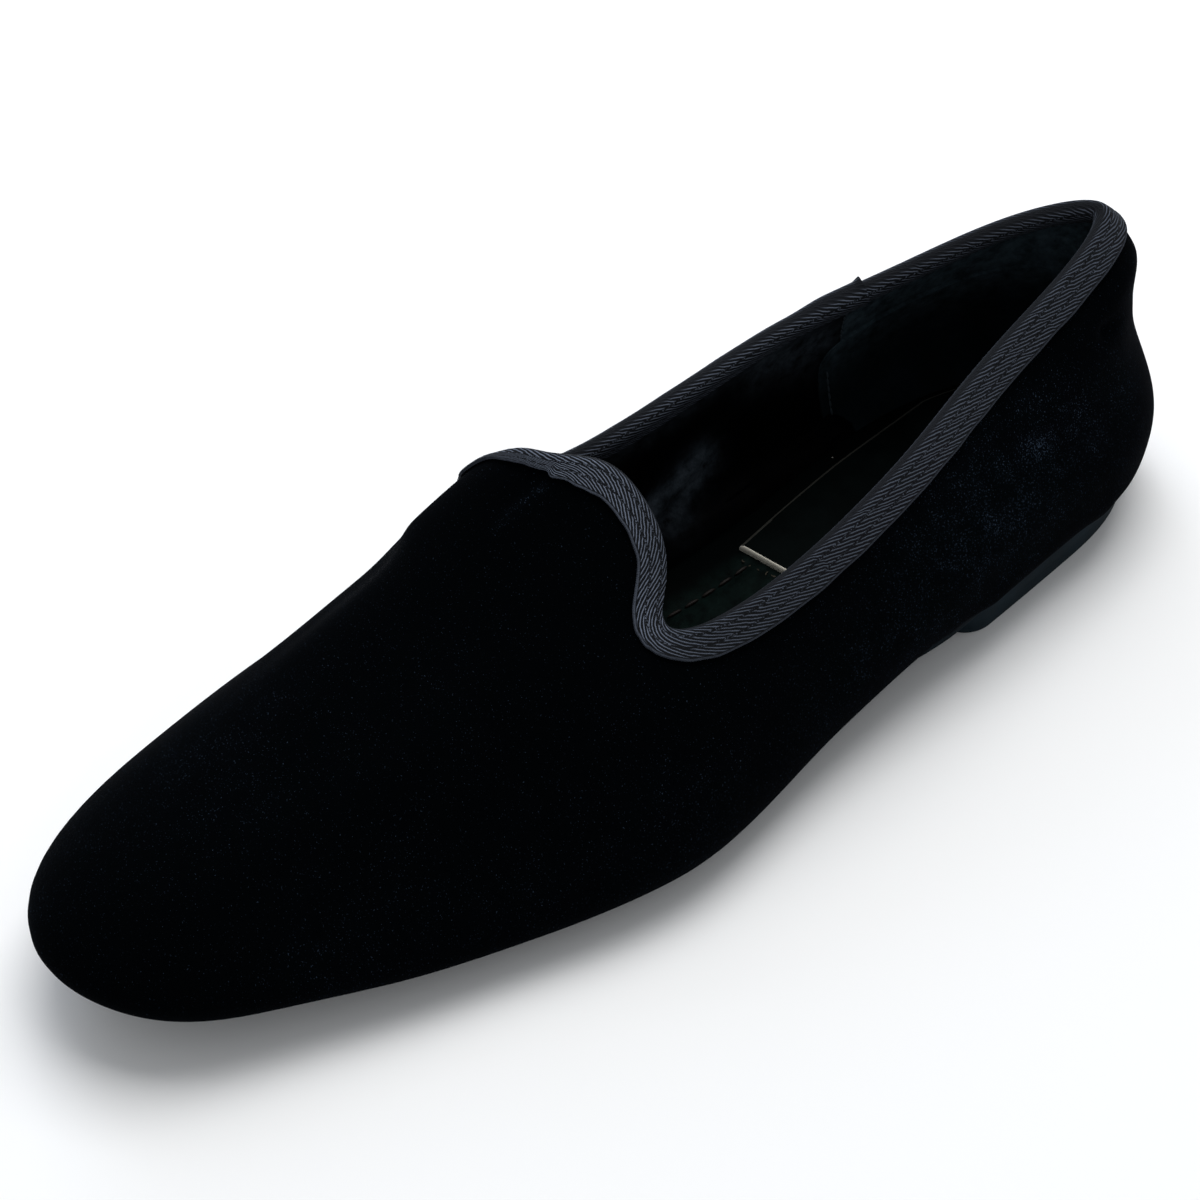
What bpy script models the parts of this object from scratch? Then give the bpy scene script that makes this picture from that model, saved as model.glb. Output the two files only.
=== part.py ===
"""Velvet slipper loafer, left shoe: a lasted velvet upper with a bound topline on a thin sole and low heel.

Metres, +Z up. The toe points to -Y and the lateral side is +X. The shoe stands on the plane z = 0, and
the origin lies on that plane under the middle of the upper's box.
"""
import math

import bmesh
import bpy
import numpy as np

# Driving sizes of the last
LAST_LENGTH = 0.252
BALL_WIDTH = 0.080
INSTEP_HEIGHT = 0.0645
BACK_HEIGHT = 0.0650
SEAT_HEIGHT = 0.011
TOE_SPRING = 0.0095

# Driving sizes of the pieces
WALL = 0.0022
FEATHER_INSET = 0.0025
ROLL_OUT = 0.0018
ROLL_UP = 0.0022
SOLE_THICKNESS = 0.0030
SOLE_TUCK = 0.0008
SEAT_MARGIN = 0.0003
HEEL_INSET = 0.0006
HEEL_LENGTH = 0.063
HEEL_CORNER = 0.008
INSOLE_THICKNESS = 0.0020
INSOLE_BEVEL = 0.0020
SOCK_THICKNESS = 0.0016
SOCK_LENGTH = 0.086
SOCK_INSET = 0.0020
TAPE_WIDTH = 0.0060
TAPE_THICKNESS = 0.0007
FOLD_CROWN = 0.4
CLEARANCE = 0.0003
INSOLE_GAP = 0.0006

# Shares of the last's length from the heel: flat seat, where the sole is tucked under, flat tread, toe spring
SEAT_END = 0.20
WAIST_START = 0.26
WAIST_END = 0.36
TREAD_START = 0.59
SPRING_START = 0.69

# Facets: meridians round the upper, rows below the tape and how closely they crowd to the roll, stations
# along the flat pieces
MERIDIANS = 112
WALL_ROWS = 10
ROW_CROWDING = 1.6
STATIONS = 34

# Points that the curves are worked out at before the facets are taken: up each meridian, round the outline
FINE_ROWS = 121
OUTLINE_POINTS = 400
CURVE_EASE = 0.6

# The last's outline in plan and the topline, one row for each main meridian. Along is the share of
# LAST_LENGTH from the heel, across the share of BALL_WIDTH (+ is lateral), and a topline height is the sum
# of its shares of INSTEP_HEIGHT and BACK_HEIGHT.
FORM = (
    # meridian,        outline along, across, topline along, across, of instep, of back
    ("toe tip",        1.000, -0.046, 0.520, -0.150, 1.010, 0.000),
    ("lateral toe",    0.962,  0.214, 0.498, -0.085, 1.000, 0.000),
    ("lateral cap",    0.870,  0.336, 0.480, -0.005, 0.940, 0.000),
    ("lateral vamp",   0.785,  0.418, 0.478,  0.100, 0.840, 0.000),
    ("lateral joint",  0.700,  0.482, 0.491,  0.180, 0.755, 0.000),
    ("lateral ball",   0.560,  0.550, 0.512,  0.292, 0.500, 0.205),
    ("lateral throat", 0.490,  0.518, 0.490,  0.335, 0.200, 0.500),
    ("lateral waist",  0.410,  0.460, 0.425,  0.340, 0.000, 0.712),
    ("lateral arch",   0.280,  0.400, 0.290,  0.278, 0.000, 0.808),
    ("lateral seat",   0.130,  0.325, 0.155,  0.156, 0.000, 0.900),
    ("lateral heel",   0.045,  0.235, 0.070,  0.090, 0.000, 0.965),
    ("heel back",      0.000,  0.000, 0.016, -0.010, 0.000, 1.000),
    ("medial heel",    0.045, -0.230, 0.070, -0.125, 0.000, 0.972),
    ("medial seat",    0.130, -0.330, 0.155, -0.205, 0.000, 0.912),
    ("medial arch",    0.280, -0.305, 0.290, -0.290, 0.000, 0.820),
    ("medial waist",   0.410, -0.280, 0.425, -0.315, 0.000, 0.725),
    ("medial throat",  0.490, -0.320, 0.490, -0.340, 0.200, 0.500),
    ("medial ball",    0.560, -0.390, 0.525, -0.370, 0.500, 0.230),
    ("medial joint",   0.700, -0.475, 0.541, -0.318, 0.826, 0.000),
    ("medial cap",     0.870, -0.370, 0.540, -0.254, 0.954, 0.000),
    ("medial toe",     0.956, -0.258, 0.531, -0.206, 1.002, 0.000),
)

# How the wall swells on its way from the last's outline to the topline: at the bulge, the shoulder and the
# crown. In is the share of the way to the topline in plan, out the swelling as a share of BALL_WIDTH, and up
# the share of the rise.
SWELL = (
    # meridian,        bulge out, up,  shoulder in, out, up,    crown in, out, up
    ("toe tip",        0.041, 0.12,  0.05, 0.000, 0.28,  0.40, 0.000, 0.48),
    ("lateral toe",    0.046, 0.13,  0.06, 0.000, 0.30,  0.40, 0.000, 0.51),
    ("lateral cap",    0.058, 0.14,  0.12, 0.000, 0.37,  0.45, 0.000, 0.66),
    ("lateral vamp",   0.062, 0.16,  0.15, 0.000, 0.45,  0.50, 0.000, 0.79),
    ("lateral joint",  0.062, 0.18,  0.18, 0.012, 0.53,  0.55, 0.006, 0.86),
    ("lateral ball",   0.056, 0.25,  0.25, 0.025, 0.61,  0.60, 0.019, 0.89),
    ("lateral throat", 0.050, 0.27,  0.30, 0.037, 0.62,  0.65, 0.025, 0.87),
    ("lateral waist",  0.050, 0.28,  0.30, 0.044, 0.60,  0.65, 0.031, 0.84),
    ("lateral arch",   0.050, 0.28,  0.28, 0.050, 0.58,  0.65, 0.031, 0.82),
    ("lateral seat",   0.052, 0.28,  0.28, 0.052, 0.55,  0.65, 0.037, 0.80),
    ("lateral heel",   0.062, 0.26,  0.28, 0.036, 0.57,  0.64, 0.046, 0.84),
    ("heel back",      0.046, 0.26,  0.30, 0.024, 0.58,  0.66, 0.047, 0.85),
    ("medial heel",    0.056, 0.27,  0.28, 0.044, 0.57,  0.64, 0.042, 0.82),
    ("medial seat",    0.050, 0.28,  0.28, 0.050, 0.55,  0.65, 0.037, 0.80),
    ("medial arch",    0.056, 0.28,  0.30, 0.062, 0.58,  0.65, 0.037, 0.82),
    ("medial waist",   0.062, 0.28,  0.30, 0.062, 0.60,  0.65, 0.037, 0.84),
    ("medial throat",  0.062, 0.28,  0.30, 0.075, 0.60,  0.65, 0.050, 0.85),
    ("medial ball",    0.062, 0.28,  0.30, 0.070, 0.60,  0.65, 0.048, 0.85),
    ("medial joint",   0.062, 0.20,  0.20, 0.020, 0.46,  0.55, 0.012, 0.75),
    ("medial cap",     0.056, 0.15,  0.12, 0.012, 0.37,  0.45, 0.000, 0.56),
    ("medial toe",     0.050, 0.13,  0.06, 0.000, 0.30,  0.40, 0.000, 0.49),
)

# The heel sock's sides at its front edge, as shares of BALL_WIDTH across
SOCK_FRONT_LATERAL = 0.24
SOCK_FRONT_MEDIAL = -0.12


def clear_scene():
    for thing in list(bpy.data.objects):
        bpy.data.objects.remove(thing, do_unlink=True)


def smooth_step(value, start, end):
    share = np.clip((value - start) / (end - start), 0.0, 1.0)
    return share * share * (3.0 - 2.0 * share)


def sole_top(along):
    """Height of the outsole's upper face: flat at the seat and the tread, rising again to the toe."""
    tread = SOLE_THICKNESS
    fall = 1.0 - smooth_step(along, SEAT_END, TREAD_START)
    rise = np.clip((along - SPRING_START) / (1.0 - SPRING_START), 0.0, None)
    return tread + (SEAT_HEIGHT - tread) * fall + TOE_SPRING * rise ** 2


def sole_offset(along):
    """The outsole's edge past the last's outline: a little proud at the seat, tucked under forward of it."""
    tucked = -FEATHER_INSET - SOLE_TUCK
    return SEAT_MARGIN + (tucked - SEAT_MARGIN) * smooth_step(along, WAIST_START, WAIST_END)


def feather_offset(along):
    return np.full(len(along), -FEATHER_INSET)


def closed_curve(knots, values, at):
    """Smooth closed cubic through the rows of values, with continuous curvature."""
    count = len(values)
    span = np.diff(knots)
    bend = np.zeros((count, count))
    pull = np.zeros(values.shape)
    for i in range(count):
        after = (i + 1) % count
        bend[i, i - 1] += span[i - 1]
        bend[i, i] += 2.0 * (span[i - 1] + span[i])
        bend[i, after] += span[i]
        pull[i] = 6.0 * ((values[after] - values[i]) / span[i] - (values[i] - values[i - 1]) / span[i - 1])
    second = np.linalg.solve(bend, pull)
    cell = np.clip(np.searchsorted(knots, at, side="right") - 1, 0, count - 1)
    after = (cell + 1) % count
    width = span[cell][:, None]
    a = (knots[cell + 1] - at)[:, None] / width
    b = 1.0 - a
    return (a * values[cell] + b * values[after]
            + ((a ** 3 - a) * second[cell] + (b ** 3 - b) * second[after]) * width ** 2 / 6.0)


def open_curve(knots, points, at):
    """Smooth open cubic through the points, straight at both ends."""
    count = len(points)
    span = np.diff(knots)
    bend = np.eye(count)
    pull = np.zeros(points.shape)
    for i in range(1, count - 1):
        bend[i, i - 1] = span[i - 1]
        bend[i, i] = 2.0 * (span[i - 1] + span[i])
        bend[i, i + 1] = span[i]
        pull[i] = 6.0 * ((points[i + 1] - points[i]) / span[i] - (points[i] - points[i - 1]) / span[i - 1])
    second = np.linalg.solve(bend, pull)
    cell = np.clip(np.searchsorted(knots, at, side="right") - 1, 0, count - 2)
    width = span[cell][:, None]
    a = (knots[cell + 1] - at)[:, None] / width
    b = 1.0 - a
    return (a * points[cell] + b * points[cell + 1]
            + ((a ** 3 - a) * second[cell] + (b ** 3 - b) * second[cell + 1]) * width ** 2 / 6.0)


def form_rings(count):
    """The last's outline, the topline, the outward direction in plan, the shares along, and the swelling."""
    rows = np.array([form[1:] + swell[1:] for form, swell in zip(FORM, SWELL)])
    plan = np.column_stack((rows[:, 1] * BALL_WIDTH, (0.5 - rows[:, 0]) * LAST_LENGTH))
    steps = np.linalg.norm(np.roll(plan, -1, axis=0) - plan, axis=1)
    knots = np.concatenate(([0.0], np.cumsum(steps)))
    at = np.linspace(0.0, knots[-1], count, endpoint=False)
    ring = closed_curve(knots, rows, at)
    last = np.column_stack((ring[:, 1] * BALL_WIDTH, (0.5 - ring[:, 0]) * LAST_LENGTH,
                            sole_top(ring[:, 0]) + CLEARANCE))
    topline = np.column_stack((ring[:, 3] * BALL_WIDTH, (0.5 - ring[:, 2]) * LAST_LENGTH,
                               ring[:, 4] * INSTEP_HEIGHT + ring[:, 5] * BACK_HEIGHT))
    forward = (np.roll(last, -1, axis=0) - np.roll(last, 1, axis=0))[:, :2]
    outward = np.column_stack((forward[:, 1], -forward[:, 0], np.zeros(count)))
    outward /= np.linalg.norm(outward, axis=1)[:, None]
    return last, topline, outward, ring[:, 0], ring[:, 6:]


def fine_surface(count, rows):
    """The upper's outer face as a grid: the feather line, the roll over it, the swelling and the topline."""
    last, topline, outward, along, swell = form_rings(count)
    way = topline - last
    up = np.array((0.0, 0.0, 1.0))
    nodes = [last + outward * feather_offset(along)[:, None], last + outward * ROLL_OUT + up * ROLL_UP]
    out_only = np.zeros(count)
    stops = ((out_only, swell[:, 0], swell[:, 1]),
             (swell[:, 2], swell[:, 3], swell[:, 4]),
             (swell[:, 5], swell[:, 6], swell[:, 7]))
    for inward, out, rise in stops:
        shares = np.column_stack((inward, inward, rise))
        nodes.append(last + way * shares + outward * (out * BALL_WIDTH)[:, None])
    nodes.append(topline)
    nodes = np.array(nodes)
    grid = np.empty((rows, count, 3))
    for i in range(count):
        chords = np.linalg.norm(np.diff(nodes[:, i], axis=0), axis=1)
        knots = np.concatenate(([0.0], np.cumsum(chords ** CURVE_EASE)))
        grid[:, i] = open_curve(knots, nodes[:, i], np.linspace(0.0, knots[-1], rows))
    return grid, outward


def surface_normals(grid):
    around = np.roll(grid, -1, axis=1) - np.roll(grid, 1, axis=1)
    upward = np.gradient(grid, axis=0)
    normal = np.cross(around, upward)
    return normal / np.linalg.norm(normal, axis=2)[:, :, None]


def upper_grid():
    """Rows of points and outward normals from the topline down: under the tape, the wall, and the roll.

    The tape's edge is everywhere TAPE_WIDTH from the topline, measured square to it.
    """
    fine, outward = fine_surface(MERIDIANS, FINE_ROWS)
    normals = surface_normals(fine)
    roll = math.hypot(FEATHER_INSET + ROLL_OUT, ROLL_UP)
    climb = np.linspace(1.0, 0.0, WALL_ROWS + 1)[1:] ** ROW_CROWDING
    edge = form_rings(OUTLINE_POINTS)[1]
    points = np.empty((WALL_ROWS + 5, MERIDIANS, 3))
    facing = np.empty((WALL_ROWS + 5, MERIDIANS, 3))
    for i in range(MERIDIANS):
        steps = np.linalg.norm(np.diff(fine[:, i], axis=0), axis=1)
        height = np.concatenate(([0.0], np.cumsum(steps)))
        rim = height[-1]
        reach = np.array([np.linalg.norm(edge - point, axis=1).min() for point in fine[::-1, i]])
        under_tape = np.interp((TAPE_WIDTH / 2, TAPE_WIDTH), np.maximum.accumulate(reach), rim - height[::-1])
        wall = roll + (rim - under_tape[1] - roll) * climb
        at = np.concatenate(((rim,), rim - under_tape, wall, (roll / 2, 0.0)))
        for axis in range(3):
            points[:, i, axis] = np.interp(at, height, fine[:, i, axis])
            facing[:, i, axis] = np.interp(at, height, normals[:, i, axis])
    facing /= np.linalg.norm(facing, axis=2)[:, :, None]
    facing[-1] = outward
    return points, facing


def centre_shift(points):
    """Plan position of the middle of the upper's box."""
    low = points.reshape(-1, 3).min(axis=0)
    high = points.reshape(-1, 3).max(axis=0)
    return np.array(((low[0] + high[0]) / 2, (low[1] + high[1]) / 2, 0.0))


def material(name, colour, roughness):
    finish = bpy.data.materials.new(name)
    finish.use_nodes = True
    shader = finish.node_tree.nodes["Principled BSDF"]
    shader.inputs["Base Color"].default_value = (*colour, 1.0)
    shader.inputs["Roughness"].default_value = roughness
    shader.inputs["Metallic"].default_value = 0.0
    finish.diffuse_color = (*colour, 1.0)
    return finish


def make_solid(name, points, faces, finish):
    mesh = bpy.data.meshes.new(name)
    work = bmesh.new()
    corners = [work.verts.new(point) for point in points]
    for face in faces:
        work.faces.new([corners[i] for i in face])
    bmesh.ops.recalc_face_normals(work, faces=work.faces[:])
    work.to_mesh(mesh)
    work.free()
    mesh.shade_smooth()
    mesh.set_sharp_from_angle(angle=math.radians(40.0))
    mesh.materials.append(finish)
    thing = bpy.data.objects.new(name, mesh)
    bpy.context.scene.collection.objects.link(thing)
    return thing


def closed_rings(rings):
    """Points and faces of a ring-shaped solid: each row is one closed ring, and the last joins the first."""
    rows = len(rings)
    count = len(rings[0])
    points = np.concatenate(rings)
    faces = []
    for row in range(rows):
        below = (row + 1) % rows
        for i in range(count):
            after = (i + 1) % count
            faces.append((row * count + i, row * count + after, below * count + after, below * count + i))
    return points, faces


def make_upper(points, facing, shift):
    """Velvet wall: the outer face, and the inner face one wall's thickness inside it."""
    outer = points - shift
    inner = outer - facing * WALL
    rings = list(outer) + list(inner[::-1])
    ring_points, faces = closed_rings(rings)
    velvet = material("black_velvet", (0.006, 0.007, 0.010), 0.95)
    return make_solid("upper", ring_points, faces, velvet)


def make_binding(points, facing, shift):
    """Twill tape folded over the topline, clear of both faces of the wall and of its edge."""
    outer = points[:3] - shift
    facing = facing[:3]
    inner = outer - facing * WALL
    rise = outer[0] - outer[1]
    rise /= np.linalg.norm(rise, axis=1)[:, None]
    near = CLEARANCE
    far = CLEARANCE + TAPE_THICKNESS
    rounding = math.sin(math.radians(45.0))
    ridge = (outer[0] + inner[0]) / 2 + rise * (far + TAPE_THICKNESS * FOLD_CROWN)
    rings = [
        outer[2] + facing[2] * near,
        outer[1] + facing[1] * near,
        outer[0] + facing[0] * near + rise * near,
        inner[0] - facing[0] * near + rise * near,
        inner[1] - facing[1] * near,
        inner[2] - facing[2] * near,
        inner[2] - facing[2] * far,
        inner[1] - facing[1] * far,
        inner[0] - facing[0] * far,
        inner[0] - (facing[0] - rise) * far * rounding,
        ridge,
        outer[0] + (facing[0] + rise) * far * rounding,
        outer[0] + facing[0] * far,
        outer[1] + facing[1] * far,
        outer[2] + facing[2] * far,
    ]
    ring_points, faces = closed_rings(rings)
    twill = material("grey_twill_tape", (0.030, 0.038, 0.046), 0.80)
    return make_solid("topline_binding", ring_points, faces, twill)


def outline(offset_of):
    """Lateral and medial edges of the last's outline moved outward in plan, as x and y from heel to toe."""
    last, topline, outward, along, swell = form_rings(OUTLINE_POINTS)
    plan = (last + outward * offset_of(along)[:, None])[:, :2]
    toe = int(np.argmin(plan[:, 1]))
    plan = np.roll(plan, -toe, axis=0)
    heel = int(np.argmax(plan[:, 1]))
    lateral = plan[:heel + 1][::-1]
    medial = np.concatenate((plan[heel:], plan[:1]))
    return lateral, medial


def station_edges(offset_of, end=None):
    """Stations from the heel to y = end or the toe, with both edges there, closer together at both ends."""
    lateral, medial = outline(offset_of)
    first = lateral[0, 1]
    last = lateral[-1, 1] if end is None else end
    turn = np.linspace(0.0, math.pi, STATIONS)
    y = (first + last) / 2 + (first - last) / 2 * np.cos(turn)
    right = np.interp(-y, -lateral[:, 1], lateral[:, 0])
    left = np.interp(-y, -medial[:, 1], medial[:, 0])
    return y, left, right


def make_slab(name, y, under, over, top, bottom, shift, finish):
    """Closed slab from stations: under and over are its left and right edges at the bottom and the top."""
    points = []
    index = []
    for i, station in enumerate(y):
        if under[1][i] - under[0][i] < CLEARANCE:
            middle = (under[0][i] + under[1][i]) / 2
            points += [(middle, station, top[i]), (middle, station, bottom[i])]
            index.append((len(points) - 2, len(points) - 2, len(points) - 1, len(points) - 1))
            continue
        points += [(over[0][i], station, top[i]), (over[1][i], station, top[i]),
                   (under[1][i], station, bottom[i]), (under[0][i], station, bottom[i])]
        index.append((len(points) - 4, len(points) - 3, len(points) - 2, len(points) - 1))
    faces = []
    for here, there in zip(index, index[1:]):
        for side in range(4):
            turn = (side + 1) % 4
            face = [here[side], here[turn], there[turn], there[side]]
            face = [corner for i, corner in enumerate(face) if corner != face[i - 1]]
            if len(face) > 2:
                faces.append(face)
    for end in (index[0], index[-1]):
        if len(set(end)) == 4:
            faces.append(end)
    return make_solid(name, np.array(points) - shift, faces, finish)


def share_along(y):
    return 0.5 - y / LAST_LENGTH


def make_outsole(shift):
    y, left, right = station_edges(sole_offset)
    top = sole_top(share_along(y))
    leather = material("sole_leather", (0.030, 0.026, 0.024), 0.60)
    edges = (left, right)
    return make_slab("outsole", y, edges, edges, top, top - SOLE_THICKNESS, shift, leather)


def make_heel(shift):
    """Low block under the seat, with a straight breast and rounded front corners."""
    breast = LAST_LENGTH / 2 - HEEL_LENGTH
    y, left, right = station_edges(lambda along: sole_offset(along) - HEEL_INSET, breast)
    depth = np.clip(HEEL_CORNER - (y - breast), 0.0, HEEL_CORNER)
    cut = HEEL_CORNER - np.sqrt(HEEL_CORNER ** 2 - depth ** 2)
    top = sole_top(share_along(y)) - SOLE_THICKNESS - CLEARANCE
    rubber = material("heel_rubber", (0.012, 0.014, 0.018), 0.50)
    edges = (left + cut, right - cut)
    return make_slab("heel", y, edges, edges, top, np.zeros(len(y)), shift, rubber)


def insole_offset(along):
    return feather_offset(along) - WALL - INSOLE_GAP


def make_insole(shift):
    """Insole with its edge bevelled to follow the roll of the wall inside the shoe."""
    y, left, right = station_edges(insole_offset)
    reach = INSOLE_BEVEL * np.sin(np.linspace(0.0, math.pi, STATIONS)) ** 0.5
    bottom = sole_top(share_along(y)) + CLEARANCE
    leather = material("insole_leather", (0.010, 0.012, 0.012), 0.55)
    return make_slab("insole", y, (left, right), (left - reach, right + reach),
                     bottom + INSOLE_THICKNESS, bottom, shift, leather)


def make_heel_sock(shift):
    """Pad over the insole's heel, narrowing forward to its straight cut front edge."""
    front = LAST_LENGTH / 2 - SOCK_LENGTH
    seat_end = (0.5 - SEAT_END) * LAST_LENGTH
    y, left, right = station_edges(lambda along: insole_offset(along) - SOCK_INSET, front)
    narrow = smooth_step(-y, -seat_end, -front)
    left = left + (SOCK_FRONT_MEDIAL * BALL_WIDTH - left) * narrow
    right = right + (SOCK_FRONT_LATERAL * BALL_WIDTH - right) * narrow
    bottom = sole_top(share_along(y)) + 2 * CLEARANCE + INSOLE_THICKNESS
    leather = material("sock_leather", (0.014, 0.016, 0.016), 0.50)
    edges = (left, right)
    return make_slab("heel_sock", y, edges, edges, bottom + SOCK_THICKNESS, bottom, shift, leather)


def build():
    clear_scene()
    points, facing = upper_grid()
    shift = centre_shift(points)
    make_upper(points, facing, shift)
    make_binding(points, facing, shift)
    make_insole(shift)
    make_heel_sock(shift)
    make_outsole(shift)
    make_heel(shift)


build()
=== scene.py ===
"""Looks of a velvet slipper loafer, left shoe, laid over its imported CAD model.

Metres, +Z up. The toe points to -Y and the lateral side is +X; the shoe stands on z = 0. Every piece of the
upper comes from the same wall: a ring of meridians that climb from the sole's edge to the topline.
"""
import math

import bmesh
import bpy
import numpy as np
from mathutils import Matrix, Vector


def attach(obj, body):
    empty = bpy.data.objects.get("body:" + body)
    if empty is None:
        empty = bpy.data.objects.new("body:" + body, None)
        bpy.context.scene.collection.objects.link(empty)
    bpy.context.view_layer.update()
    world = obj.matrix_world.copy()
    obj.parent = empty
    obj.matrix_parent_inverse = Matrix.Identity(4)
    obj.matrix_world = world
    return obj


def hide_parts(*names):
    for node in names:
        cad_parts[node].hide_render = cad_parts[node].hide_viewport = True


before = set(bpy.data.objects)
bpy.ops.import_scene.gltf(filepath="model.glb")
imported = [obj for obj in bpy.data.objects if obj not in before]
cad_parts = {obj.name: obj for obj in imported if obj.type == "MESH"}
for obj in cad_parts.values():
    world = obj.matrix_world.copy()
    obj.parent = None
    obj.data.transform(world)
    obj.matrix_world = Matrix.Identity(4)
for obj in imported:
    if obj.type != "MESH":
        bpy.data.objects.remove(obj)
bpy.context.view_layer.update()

MM = 0.001

# Sizes of the last
LAST_LENGTH = 0.252
BALL_WIDTH = 0.080
INSTEP_HEIGHT = 0.0645
BACK_HEIGHT = 0.0650
SEAT_HEIGHT = 0.011
TOE_SPRING = 0.0095

# Sizes of the pieces
WALL = 0.0022
VELVET = 0.0011
FEATHER_INSET = 0.0025
ROLL_OUT = 0.0018
ROLL_UP = 0.0022
SOLE_THICKNESS = 0.0030
SOLE_TUCK = 0.0008
SEAT_MARGIN = 0.0003
HEEL_INSET = 0.0009
HEEL_LENGTH = 0.063
HEEL_CORNER = 0.008
INSOLE_THICKNESS = 0.0020
INSOLE_GAP = 0.0006
SOCK_THICKNESS = 0.0016
SOCK_LENGTH = 0.086
SOCK_INSET = 0.0020
TAPE_WIDTH = 0.0060
TAPE_THICKNESS = 0.0007
CLEARANCE = 0.0003

# The tape's lap, how far below the rim its turn starts, and how wide it shows where it is cut or turned short
LAP_PLACE = 0.070
TAPE_LAP = 0.0105
TAPE_TURN = 0.0011
NOTCH_PLACE = (-10.2, -3.5, 66.5)
NOTCH_WIDTH = 0.0043
TAB_WIDTH = 0.0030
INSIDE_WIDTH = 0.0038

# The lining's seams and its heel grip, and the channel sewn into the insole
SEAM_PLACE = 0.0755
SEAM_DROP = 0.020
GRIP_FRONT = 0.0700
GRIP_TOP = 0.0235
GRIP_CORNER = 0.0075
CHANNEL_INSET = 0.0100
CHANNEL_END = 0.037
CHANNEL_DEPTH = 0.00055
CHANNEL_WIDTH = 0.0010

# The photograph's camera: azimuth, elevation and roll in degrees, the place looked at, and its lens
VIEW_ANGLES = (59.11, 48.05, -5.26)
LOOKED_AT = (-0.01345, 0.00236, 0.020)
CAMERA_DISTANCE = 0.6447
FOCAL_PIXELS = 3221.0
PHOTO_PIXELS = 1200.0
SENSOR_MM = 36.0

# Ahead of the toe tip, for the flat pieces that run the whole length
TOE = -LAST_LENGTH

# Shares of the last's length from the heel: flat seat, flat tread, toe spring
SEAT_END = 0.20
WAIST_START = 0.26
WAIST_END = 0.36
TREAD_START = 0.59
SPRING_START = 0.69

# Meridians and rows of the wall that every piece is cut from
WALL_MERIDIANS = 720
WALL_ROWS = 161
# How strongly a curve eases off over long spans
CURVE_EASE = 0.6

# The last's outline in plan and the topline, one row for each main meridian. Along is the share of
# LAST_LENGTH from the heel, across the share of BALL_WIDTH (+ is lateral), and a topline height is the sum
# of its shares of INSTEP_HEIGHT and BACK_HEIGHT.
FORM = (
    # meridian,        outline along, across, topline along, across, of instep, of back
    ("toe tip",        1.000, -0.046, 0.520, -0.150, 1.010, 0.000),
    ("lateral toe",    0.962,  0.214, 0.498, -0.085, 1.000, 0.000),
    ("lateral cap",    0.870,  0.336, 0.480, -0.005, 0.940, 0.000),
    ("lateral vamp",   0.785,  0.418, 0.478,  0.100, 0.840, 0.000),
    ("lateral joint",  0.700,  0.482, 0.491,  0.180, 0.755, 0.000),
    ("lateral ball",   0.560,  0.550, 0.512,  0.292, 0.500, 0.205),
    ("lateral throat", 0.490,  0.518, 0.490,  0.335, 0.200, 0.500),
    ("lateral waist",  0.410,  0.460, 0.425,  0.340, 0.000, 0.712),
    ("lateral arch",   0.280,  0.400, 0.290,  0.278, 0.000, 0.808),
    ("lateral seat",   0.130,  0.325, 0.155,  0.156, 0.000, 0.900),
    ("lateral heel",   0.045,  0.235, 0.070,  0.090, 0.000, 0.965),
    ("heel back",      0.000,  0.000, 0.016, -0.010, 0.000, 1.000),
    ("medial heel",    0.045, -0.230, 0.070, -0.125, 0.000, 0.972),
    ("medial seat",    0.130, -0.330, 0.155, -0.205, 0.000, 0.912),
    ("medial arch",    0.280, -0.305, 0.290, -0.290, 0.000, 0.820),
    ("medial waist",   0.410, -0.280, 0.425, -0.315, 0.000, 0.725),
    ("medial throat",  0.490, -0.320, 0.490, -0.340, 0.200, 0.500),
    ("medial ball",    0.560, -0.390, 0.525, -0.370, 0.500, 0.230),
    ("medial joint",   0.700, -0.475, 0.541, -0.318, 0.826, 0.000),
    ("medial cap",     0.870, -0.370, 0.540, -0.254, 0.954, 0.000),
    ("medial toe",     0.956, -0.258, 0.531, -0.206, 1.002, 0.000),
)

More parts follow.
